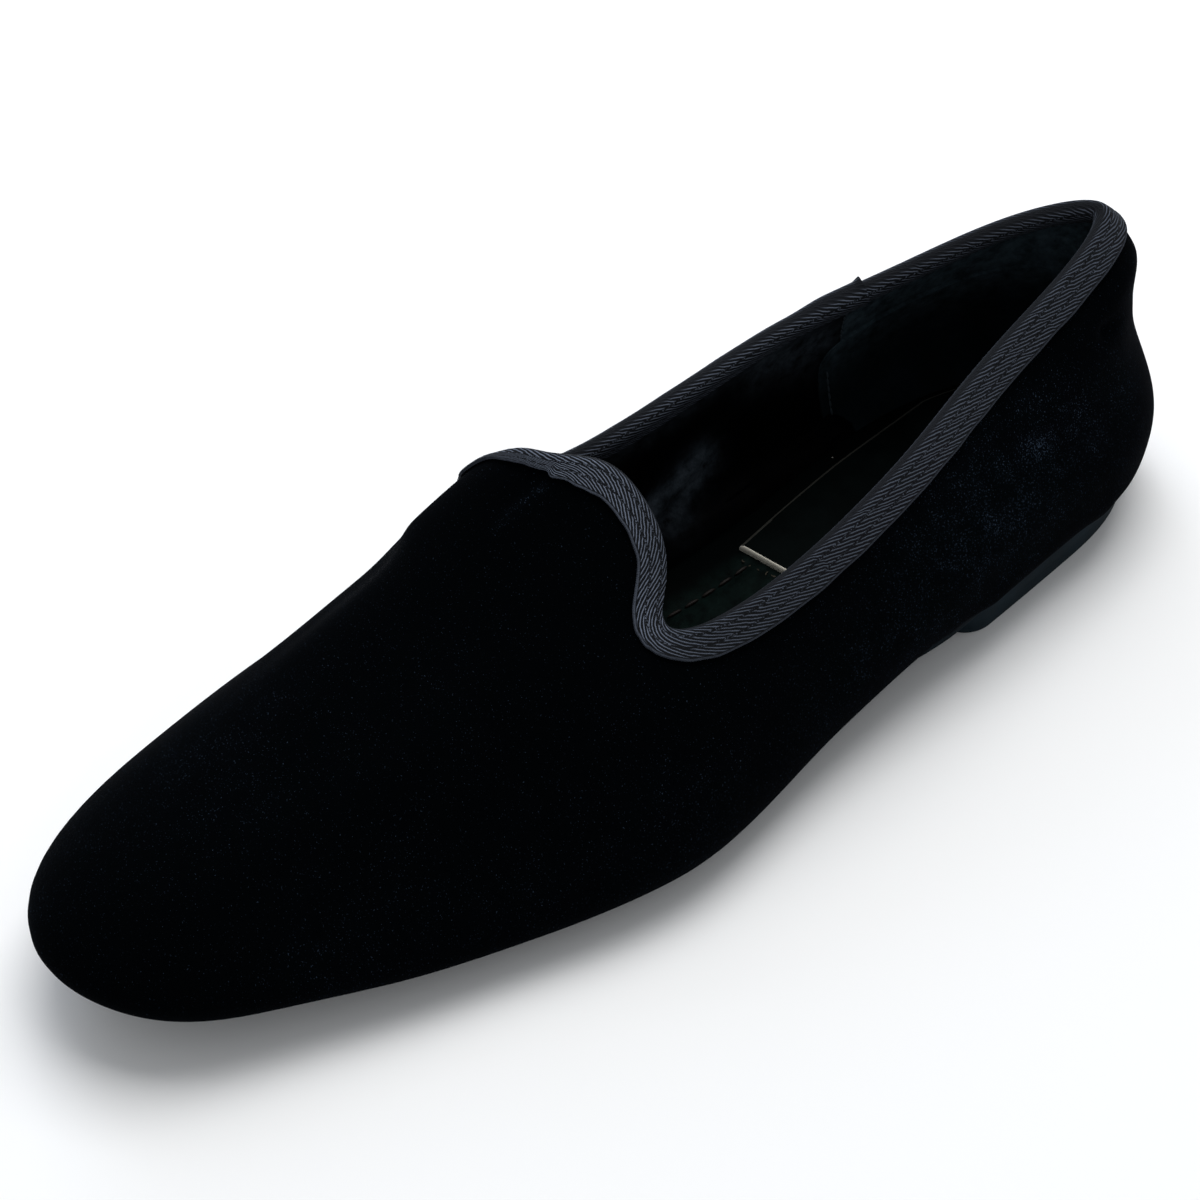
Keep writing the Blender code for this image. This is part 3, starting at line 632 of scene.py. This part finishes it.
def make_piece(name, points, faces, finishes, uv=None, marks=None, sharp=38.0):
    """A smooth mesh from points and faces, with its finishes, a UV map and named point values."""
    mesh = bpy.data.meshes.new(name)
    mesh.from_pydata(points.tolist(), [], faces)
    work = bmesh.new()
    work.from_mesh(mesh)
    bmesh.ops.recalc_face_normals(work, faces=work.faces[:])
    work.to_mesh(mesh)
    work.free()
    mesh.shade_smooth()
    mesh.set_sharp_from_angle(angle=math.radians(sharp))
    for one in finishes:
        mesh.materials.append(one)
    if uv is not None:
        layer = mesh.uv_layers.new(name="weave")
        corner = np.empty(len(mesh.loops), dtype=np.int32)
        mesh.loops.foreach_get("vertex_index", corner)
        layer.data.foreach_set("uv", uv[corner].astype(np.float32).ravel())
    for mark, values in (marks or {}).items():
        layer = mesh.attributes.new(mark, "FLOAT", "POINT")
        layer.data.foreach_set("value", values.astype(np.float32))
    return new_object(name, mesh)


def folded_sheet(outer, inner, wrap):
    """Points and faces of a closed sheet from its two faces, as grids of rows by columns."""
    grid = np.concatenate((outer, inner[::-1]))
    rows, columns = grid.shape[:2]
    faces = grid_faces(rows, columns, True, wrap)
    if not wrap:
        for side in (0, columns - 1):
            for row in range(rows // 2 - 1):
                mate = rows - 1 - row
                faces.append((row * columns + side, (row + 1) * columns + side,
                              (mate - 1) * columns + side, mate * columns + side))
    return grid.reshape(-1, 3), faces


def patches_at(points, patches):
    """How strong the patches are at each point, from 0 to 1."""
    strong = np.zeros(len(points))
    for name, x, y, z, radius, strength in patches:
        away = np.linalg.norm(points - np.array((x, y, z)) * MM, axis=1) / (radius * MM)
        strong = strong + strength * np.exp(-away ** 2)
    return np.clip(strong, 0.0, 1.0)


def make_velvet(wall, velvet):
    """The velvet from under the tape down to the roll below the sole's edge, and its own back."""
    columns = 560
    arounds = np.arange(columns) / columns
    lengths = wall.lengths(arounds)
    shares = np.linspace(0.0, 1.0, 80) ** 0.92
    top = 0.0006
    drops = top + shares[:, None] * (lengths - top)
    outer = wall.lay(arounds, drops, np.zeros(drops.shape))
    inner = wall.lay(arounds, drops, np.full(drops.shape, VELVET))
    keep = np.linspace(0, len(shares) - 1, 14).astype(int)
    grid = np.concatenate((outer, inner[keep][::-1]))
    points = grid.reshape(-1, 3)
    faces = grid_faces(len(grid), columns, True, True)
    piece = make_piece("velvet_upper", points, faces, [velvet],
                       marks={"dust_and_sheen": patches_at(points, DUST_AND_SHEEN_PATCHES)})
    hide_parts("upper")
    return piece


def make_tape(wall, twill):
    """Twill tape folded over the rim, its free end lapped over its start on the inner side."""
    start = wall.around_at(LAP_PLACE, -1, 0.0)
    columns = 680
    run = np.linspace(0.0, 1.0 + TAPE_LAP, columns)
    arounds = start - run
    # At the notch the tape is darted to a point, and over the inner half of the tab it is turned further in
    turned = (arounds - wall.around_near(NOTCH_PLACE) + 0.5) % 1.0 - 0.5
    outward_side = NOTCH_WIDTH + (TAPE_WIDTH - NOTCH_WIDTH) * smooth_step(turned, 0.002, 0.040)
    inward_side = TAB_WIDTH + (TAPE_WIDTH - TAB_WIDTH) * smooth_step(-turned, 0.105, 0.140)
    inward_side = inward_side - 0.0011 * np.exp(-((turned + 0.098) / 0.035) ** 2)
    outer_width = np.where(turned > 0, outward_side,
                           outward_side + (inward_side - outward_side) * smooth_step(-turned, 0.001, 0.012))
    down, from_rim, rim_slip = wall.square_to_rim(arounds)
    side_drops = np.linspace(TAPE_WIDTH, TAPE_TURN, 8)
    turn = np.linspace(0.0, math.pi, 13)[1:-1]

    def section(gap):
        """Drops and depths across the tape, from its outer edge over the rim to its inner edge."""
        bead = 0.00012 * np.exp(-((side_drops - TAPE_WIDTH + 0.0005) / 0.0004) ** 2)
        out = -gap - bead
        over_depth = WALL / 2 - np.cos(turn) * (WALL / 2 + gap)
        over_drop = TAPE_TURN - np.sin(turn) * (TAPE_TURN + gap)
        drop = np.concatenate((side_drops, over_drop, side_drops[::-1]))
        depth = np.concatenate((out, over_depth, WALL + gap + bead[::-1]))
        return drop, depth

    lift = TAPE_THICKNESS * (0.15 + 0.70 * smooth_step(run, 0.978, 0.996))
    lift = lift + 0.0005 * smooth_step(run, 1.0 + TAPE_LAP * 0.75, 1.0 + TAPE_LAP)
    flare = 1.0 + 0.015 * np.sin(run * 310.0) * np.sin(run * 47.0)
    under_drop, under_depth = section(CLEARANCE)
    over_drop, over_depth = section(CLEARANCE + TAPE_THICKNESS * 0.85)
    grids = []
    for drop, depth in ((over_drop, over_depth), (under_drop, under_depth)):
        middle = WALL / 2
        away = np.sign(depth - middle) * np.minimum(np.abs(depth - middle) / (WALL / 2 + CLEARANCE), 1.0)
        outside = (np.arange(len(drop)) < len(side_drops))[:, None]
        past = np.clip(drop[:, None] - TAPE_TURN, 0.0, None)
        # Inside the shoe the tape was folded in short
        width = np.where(outside, outer_width, INSIDE_WIDTH) * flare
        widths = drop[:, None] - past + past * (width - TAPE_TURN) / (TAPE_WIDTH - TAPE_TURN)
        drops = np.where(widths > 0.0, 0.0, widths)
        for column in range(columns):
            drops[:, column] += np.interp(np.clip(widths[:, column], 0.0, None), from_rim[:, column], down)
        depths = depth[:, None] + away[:, None] * lift * np.where(away > 0.0, 0.5, 1.0)[:, None]
        drops = drops - np.where(drop[:, None] < TAPE_TURN, 1.0, 0.0) * lift
        grids.append(wall.lay(arounds, drops, depths))
    points, faces = folded_sheet(grids[0], grids[1], False)
    rim = grids[0][len(over_drop) // 2]
    along = run_along(rim) / MM
    across = run_along(grids[0][:, columns // 3]) / MM
    slip = np.array([np.interp(np.clip(over_drop, 0.0, None), from_rim[:, column], rim_slip[:, column])
                     for column in range(columns)]).T / MM
    one_face = np.stack((along - slip, np.broadcast_to(across[:, None], grids[0].shape[:2])), axis=2)
    uv = np.concatenate((one_face, one_face[::-1]))
    piece = make_piece("herringbone_tape", points, faces, [twill], uv=uv.reshape(-1, 2),
                       marks={"painted_tape_light": patches_at(points, TAPE_LIGHT_PATCHES)})
    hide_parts("topline_binding")
    return piece


def lining_panel(wall, name, arounds, top, bottom, outer_depth, inner_depth, rows, finish_of, crumpled):
    """A panel of lining on the inner face of the wall, between two drops for each around."""
    shares = np.linspace(0.0, 1.0, rows)[:, None]
    drops = top + shares * (bottom - top)
    depths = np.ones(drops.shape)
    outer = wall.lay(arounds, drops, depths * outer_depth)
    inner = wall.lay(arounds, drops, depths * inner_depth)
    if crumpled:
        inward = inner - outer
        inward /= np.linalg.norm(inward, axis=2)[:, :, None]
        inner = inner + inward * (fold_depth(inner, CRUMPLES) + ripple(inner, 0.011, 0.00018))[:, :, None]
    points, faces = folded_sheet(outer, inner, False)
    drop = np.concatenate((drops, drops[::-1])).ravel()
    # The lining is paler in a band below the rim, more so round the heel, and the patches paint highlights on
    # the crumples
    under_tape, spread, strength = (0.0060, 0.0040, 0.25) if crumpled else (0.0150, 0.0140, 0.95)
    paleness = patches_at(points, PALE_LINING_PATCHES) + strength * np.exp(-((drop - under_tape) / spread) ** 2)
    return make_piece(name, points, faces, [finish_of], marks={"paleness": paleness})


def make_lining(wall, leather, suede, thread):
    """Smooth leather from the toe to the quarters, suede round the heel, and a grip over the heel's back."""
    seam_medial = wall.around_at(SEAM_PLACE, -1, SEAM_DROP)
    seam_lateral = wall.around_at(SEAM_PLACE, 1, SEAM_DROP)
    front = np.linspace(seam_medial - 1.0, seam_lateral, 420)
    back = np.linspace(seam_lateral - 0.004, seam_medial + 0.004, 260)
    pieces = []
    for name, arounds, outer, inner, cloth, crumpled in (
            ("lining_forepart", front, VELVET + 0.0001, WALL, leather, True),
            ("lining_quarters", back, VELVET + 0.0001, WALL - 0.0004, suede, False)):
        lengths = wall.lengths(arounds)
        pieces.append(lining_panel(wall, name, arounds, np.full(len(arounds), 0.0010), lengths - 0.0002,
                                   outer, inner, 46, cloth, crumpled))
    grip = np.linspace(wall.around_at(GRIP_FRONT, 1, 0.028), wall.around_at(GRIP_FRONT, -1, 0.028), 240)
    lengths = wall.lengths(grip)
    away = np.minimum(np.arange(240), np.arange(240)[::-1]) / 12.0
    corner = 1.0 - np.sqrt(np.clip(1.0 - (1.0 - np.clip(away, 0.0, 1.0)) ** 2, 0.0, 1.0))
    top = GRIP_TOP + GRIP_CORNER * corner
    pieces.append(lining_panel(wall, "heel_grip", grip, top, lengths - 0.0004, WALL - 0.0004, WALL + 0.0004,
                               34, suede, False))
    down = np.linspace(0.0, 1.0, 60)
    for side, seam in ((-1, seam_medial), (1, seam_lateral)):
        grip_around = grip[-5] if side < 0 else grip[4]
        runs = (("quarter_seam", seam, 0.0070, 0.0245, WALL + 0.0001),
                ("grip_edge", grip_around, 0.0300, wall.lengths([grip_around])[0] - 0.0025, WALL + 0.0005))
        for name, around, first, final, depth in runs:
            drops = (first + (final - first) * down)[:, None]
            path = wall.lay([around], drops, np.full(drops.shape, depth))[:, 0]
            name = name + ("_inner" if side < 0 else "_outer")
            length = 0.0020 if name.startswith("grip") else 0.0013
            pieces.append(stitch_run(name, path, 0.0021, length, 0.0005, thread, 0.0, (-side, 0.0, 0.25)))
    return pieces


def outline(inset, count=600):
    """The last's outline moved inward by the inset, from the toe by the lateral side, in plan."""
    last, topline, outward = form_rings(count)[:3]
    return last - outward * np.reshape(inset, (-1, 1))


def station_edges(wall, inset, front, count):
    """Stations from a place along the shoe to its back, with the inset outline's edges on both sides."""
    ring = outline(inset) - wall.shift
    toe = int(np.argmin(ring[:, 1]))
    plan = np.roll(ring, -toe, axis=0)
    heel = int(np.argmax(plan[:, 1]))
    lateral = plan[:heel + 1]
    medial = np.concatenate((plan[heel:], plan[:1]))[::-1]
    first = max(front, lateral[0, 1])
    last = lateral[-1, 1]
    turn = np.linspace(0.0, math.pi, count)
    y = (first + last) / 2 - (last - first) / 2 * np.cos(turn)
    return y, np.interp(y, medial[:, 1], medial[:, 0]), np.interp(y, lateral[:, 1], lateral[:, 0])


def make_flat(name, y, left, right, top, bottom, across, finishes, dip=None, edge=0.0008, foot=0.0, slant=0.0,
              pale_mix=None):
    """A flat piece with softly rounded edges, above and (by foot) below; dip lowers its top by place."""
    share = (1.0 - np.cos(np.linspace(0.0, math.pi, across))) / 2.0
    x = left + share[:, None] * (right - left)
    inset = np.minimum(x - left, right - x)
    ends = np.minimum(y - y[0], y[-1] - y)
    reach = np.minimum(inset, ends[None, :] * 3.0)

    def rounding(radius):
        near = np.clip(reach, 0.0, radius)
        return radius - np.sqrt(np.clip(radius ** 2 - (radius - near) ** 2, 0.0, None))

    upper = np.stack((x, np.broadcast_to(y, x.shape), top - rounding(edge)), axis=2)
    lower = np.stack((x, np.broadcast_to(y, x.shape), bottom + rounding(foot)), axis=2)
    lean = slant * (x - left[0]) * (1.0 - smooth_step(y, y[0], y[0] + 0.030))
    upper[:, :, 1] += lean
    lower[:, :, 1] += lean
    if dip is not None:
        upper[:, :, 2] -= dip(upper)
    points, faces = folded_sheet(upper, lower, False)
    return make_piece(name, points, faces, finishes, marks={"paleness": pale_mix(points)} if pale_mix else None)


def sole_inset(along):
    """How far the outsole's edge lies inside the last's outline: proud at the seat, then tucked under."""
    tucked = FEATHER_INSET + SOLE_TUCK
    return -SEAT_MARGIN + (tucked + SEAT_MARGIN) * smooth_step(along, WAIST_START, WAIST_END)


def make_sole(wall, leather, rubber):
    """Thin leather outsole, and the low heel block with rounded breast corners and a rubbed lower edge."""
    ring_along = form_rings(600)[0][:, 1] / -LAST_LENGTH + 0.5
    y, left, right = station_edges(wall, sole_inset(ring_along), TOE, 240)
    top = sole_top(wall.share_along(y))
    sole = make_flat("leather_outsole", y, left, right, top, top - SOLE_THICKNESS, 60, [leather],
                     edge=0.0004, foot=0.0006)
    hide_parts("outsole")
    breast = LAST_LENGTH / 2 - HEEL_LENGTH - wall.shift[1]
    y, left, right = station_edges(wall, sole_inset(ring_along) + HEEL_INSET, breast, 200)
    depth = np.clip(HEEL_CORNER - (y - breast), 0.0, HEEL_CORNER)
    cut = HEEL_CORNER - np.sqrt(HEEL_CORNER ** 2 - depth ** 2)
    top = sole_top(wall.share_along(y)) - SOLE_THICKNESS - CLEARANCE
    heel = make_flat("heel_block", y, left + cut, right - cut, top, np.zeros(len(y)), 60, [rubber],
                     edge=0.0004, foot=0.0009)
    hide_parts("heel")
    return [sole, heel]


def add_thread(points, faces, line, girths, side, up, around):
    """One short closed thread: a ring of points about each place of its line, and its two ends."""
    base = len(points)
    for middle, girth in zip(line, girths):
        for angle in np.linspace(0.0, 2.0 * math.pi, around, endpoint=False):
            points.append(middle + (side * math.cos(angle) + up * math.sin(angle)) * girth)
    faces += [tuple(base + i for i in face) for face in grid_faces(len(line), around, False, True)]
    faces.append(tuple(range(base, base + around)))
    faces.append(tuple(reversed(range(len(points) - around, len(points)))))


def make_specks(name, places, size, finish_of):
    """Loose flecks, each a small bent sliver that lies its own way."""
    points = []
    faces = []
    share = np.linspace(-1.0, 1.0, 7)
    for count, place in enumerate(places):
        lie = 1.7 * count
        long = np.array((math.cos(lie), math.sin(lie), 0.3 * math.sin(lie * 2.3)))
        wide = np.array((-math.sin(lie), math.cos(lie), 0.2))
        grown = size * (0.7 + 0.3 * math.sin(lie * 3.1))
        girths = np.sqrt(np.maximum(1.0 - share ** 2, 0.01)) * (1.0 + 0.4 * np.sin(5.0 * share + lie))
        line = long * share[:, None] + wide * 0.35 * share[:, None] ** 2
        add_thread(points, faces, np.array(place) * MM + line * grown, girths * 0.32 * grown, wide,
                   np.array((0.0, 0.0, 0.6)), 7)
    return make_piece(name, np.array(points), faces, [finish_of], sharp=80.0)


def stitch_run(name, path, pitch, length, thickness, finish_of, sink=0.0, facing=(0.0, 0.0, 1.0)):
    """A run of stitches along a path: short rounded threads, joined in one mesh."""
    at = run_along(path)
    share = np.linspace(-0.5, 0.5, 7)
    girths = thickness / 2 * np.sqrt(np.clip(1.0 - (2.0 * share) ** 2 * 0.96, 0.0, 1.0))
    points = []
    faces = []
    for centre in np.arange(pitch / 2, at[-1] - pitch / 2, pitch):
        line = np.column_stack([np.interp(centre + share * length, at, path[:, axis]) for axis in range(3)])
        ahead = line[-1] - line[0]
        ahead /= np.linalg.norm(ahead)
        side = np.cross(ahead, facing)
        side /= np.linalg.norm(side)
        up = np.cross(side, ahead)
        line = line + up * (girths * 0.4 - sink)[:, None]
        add_thread(points, faces, line, girths, side, up, 8)
    return make_piece(name, np.array(points), faces, [finish_of], sharp=80.0)


def sock_edge(y):
    """Where the heel sock's inner edge runs, straight forward from the seat to its front corner."""
    return np.interp(y, (0.0372, 0.0643, 0.0921), (-0.0142, -0.0187, -0.0222))


def make_insole(wall, leather, thread):
    """Leather insole with the sunk channel of its sole stitching, and the stitches in it."""
    y, left, right = station_edges(wall, FEATHER_INSET + WALL - 0.0002, TOE, 220)
    bottom = sole_top(wall.share_along(y)) + CLEARANCE
    channel = outline(FEATHER_INSET + WALL + INSOLE_GAP + CHANNEL_INSET) - wall.shift
    channel = channel[channel[:, 1] < CHANNEL_END]
    back = int(np.argmax(np.linalg.norm(np.diff(channel, axis=0), axis=1)))
    channel = np.roll(channel, -back - 1, axis=0)

    def dip(points):
        flat = points[:, :, :2].reshape(-1, 2)
        away = np.full(len(flat), 1.0)
        for place in channel:
            away = np.minimum(away, np.hypot(flat[:, 0] - place[0], flat[:, 1] - place[1]))
        return (CHANNEL_DEPTH * np.exp(-(away / CHANNEL_WIDTH) ** 2)).reshape(points.shape[:2])

    def painted_wall_shade(points):
        """Painted shade: the insole is black on its inner side out to the wall, where the wall shades it, and
        grey-green elsewhere.
        """
        return smooth_step(points[:, 0] - sock_edge(points[:, 1]), -0.001, 0.003)

    piece = make_flat("leather_insole", y, left, right, bottom + INSOLE_THICKNESS, bottom, 90, [leather],
                      dip=dip, edge=0.0012, pale_mix=painted_wall_shade)
    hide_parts("insole")
    path = channel.copy()
    path[:, 2] = sole_top(wall.share_along(path[:, 1])) + CLEARANCE + INSOLE_THICKNESS
    stitches = stitch_run("sole_stitches", path, 0.0042, 0.0034, 0.0008, thread, 0.0003)
    return [piece, stitches]


def make_heel_sock(wall, leather, foam, edge_and_highlight):
    """Leather-covered foam pad under the heel; its front edge is cut and shows the pale foam."""
    front = LAST_LENGTH / 2 - SOCK_LENGTH - wall.shift[1] - 0.0026
    y, left, right = station_edges(wall, FEATHER_INSET + WALL + INSOLE_GAP + SOCK_INSET, front, 120)
    seat_end = (0.5 - SEAT_END) * LAST_LENGTH - wall.shift[1]
    narrow = smooth_step(-y, -seat_end, -front)
    left = np.maximum(left, sock_edge(y))
    right = right + (0.24 * BALL_WIDTH - wall.shift[0] - right) * narrow
    bottom = sole_top(wall.share_along(y)) + 2 * CLEARANCE + INSOLE_THICKNESS
    piece = make_flat("foam_heel_sock", y, left, right, bottom + SOCK_THICKNESS, bottom, 90,
                      [leather, foam, edge_and_highlight], edge=0.0012, slant=0.277)
    # Front faces show the cut foam; the side faces take the sanded edge's own colour, made paler as a painted
    # highlight along the bevel
    for face in piece.data.polygons:
        if face.normal.y < -0.60 and face.center.y < front + 0.0100:
            face.material_index = 1
        elif abs(face.normal.x) > 0.20:
            face.material_index = 2
    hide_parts("heel_sock")
    return piece


def make_studio():
    """Plain pale floor, a pale surround, a large softbox overhead and two at the sides."""
    paper = finish("studio_paper", "#F4F4F4", 0.9, Specular_IOR_Level=0.1)[0]
    mesh = bpy.data.meshes.new("studio_floor")
    reach = 4.0
    corners = [(-reach, -reach, 0), (reach, -reach, 0), (reach, reach, 0), (-reach, reach, 0)]
    mesh.from_pydata(corners, [], [(0, 1, 2, 3)])
    mesh.materials.append(paper)
    floor = new_object("studio_floor", mesh)
    world = bpy.data.worlds.new("studio_surround")
    world.use_nodes = True
    set_inputs(world.node_tree.nodes["Background"], {"Color": linear("#F2F5F8"), "Strength": 0.50})
    bpy.context.scene.world = world
    for name, place, size, power, colour in (
            ("overhead_softbox", (-0.25, 0.35, 1.1), (0.9, 0.9), 11.0, "#FFFFFF"),
            ("far_side_softbox", (-0.9, 0.2, 0.5), (0.5, 0.8), 3.5, "#EAF2FF"),
            ("near_side_softbox", (0.8, -0.6, 0.5), (0.6, 0.6), 0.4, "#FFFFFF")):
        light = bpy.data.lights.new(name, "AREA")
        light.shape = "RECTANGLE"
        light.size, light.size_y = size
        light.energy = power
        light.color = linear(colour)[:3]
        lamp = new_object(name, light)
        lamp.location = place
        lamp.rotation_euler = (Vector((0.0, 0.0, 0.03)) - Vector(place)).to_track_quat("-Z", "Y").to_euler()


def aim_camera():
    """The photograph's view; the camera's up is tilted by its roll."""
    azimuth, elevation, roll = (math.radians(angle) for angle in VIEW_ANGLES)
    towards = Vector((math.sin(azimuth) * math.cos(elevation), -math.cos(azimuth) * math.cos(elevation),
                      math.sin(elevation)))
    level = (-towards).cross(Vector((0.0, 0.0, 1.0))).normalized()
    upright = towards.cross(level)
    right = level * math.cos(roll) + upright * math.sin(roll)
    up = upright * math.cos(roll) - level * math.sin(roll)
    lens = bpy.data.cameras.new("product_camera")
    lens.sensor_width = SENSOR_MM
    lens.lens = SENSOR_MM * FOCAL_PIXELS / PHOTO_PIXELS
    lens.clip_end = 20.0
    camera = new_object("product_camera", lens)
    turn = Matrix((right, up, towards)).transposed().to_4x4()
    camera.matrix_world = Matrix.Translation(Vector(LOOKED_AT) + towards * CAMERA_DISTANCE) @ turn
    bpy.context.scene.camera = camera


def dress():
    wall = Wall()
    velvet = cotton_velvet()
    twill = twill_tape()
    # The last colour given is the pale one: painted highlights for the lining calf, a paler band for the
    # suede, and for the insole its own grey-green, its black base standing for painted shade by the inner
    # wall
    lining_calf = grained_leather("lining_calf", "#010102", "#020304", 0.60, 0.5, 0.35, 0.02, "#59646F")
    suede = grained_leather("lining_suede", "#0A1114", "#141D22", 0.90, 0.35, 0.6, 0.03, "#4A5A64")
    insole_calf = grained_leather("insole_calf", "#010303", "#020505", 0.60, 0.6, 0.3, 0.02, "#0D1917")
    sock_leather = grained_leather("sock_calf", "#010404", "#060C0C", 0.60, 0.6, 0.3, 0.02)
    sole_leather = grained_leather("sole_leather", "#070C10", "#121A20", 0.75, 0.7, 0.4, 0.05)
    heel_rubber = grained_leather("heel_rubber", "#10191F", "#1C272E", 0.60, 0.9, 0.2, 0.06)
    foam = finish("cut_latex_foam", "#FBF6E6", 0.9)[0]
    edge_and_highlight = finish("sanded_edge_and_painted_highlight", "#2E2E2A", 0.7, Specular_IOR_Level=0.2)[0]
    thread = finish("waxed_thread", "#130D0B", 0.6, Specular_IOR_Level=0.2)[0]
    lining_thread = finish("lining_thread", "#333C42", 0.7, Specular_IOR_Level=0.2)[0]
    lint = finish("cotton_lint", "#B8B6AE", 0.95, Specular_IOR_Level=0.1)[0]
    glue = finish("dried_cement", "#3A342A", 0.8, Specular_IOR_Level=0.2)[0]
    pieces = [make_velvet(wall, velvet), make_tape(wall, twill)]
    pieces += make_lining(wall, lining_calf, suede, lining_thread)
    pieces += make_insole(wall, insole_calf, thread)
    pieces.append(make_heel_sock(wall, sock_leather, foam, edge_and_highlight))
    pieces += make_sole(wall, sole_leather, heel_rubber)
    pieces.append(make_specks("lint_inside", LINT_PLACES, 0.0006, lint))
    pieces.append(make_specks("cement_crumbs", CEMENT_PLACES, 0.0007, glue))
    for piece in pieces:
        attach(piece, "root")


make_studio()
aim_camera()
dress()
bpy.context.scene.view_settings.view_transform = "Standard"
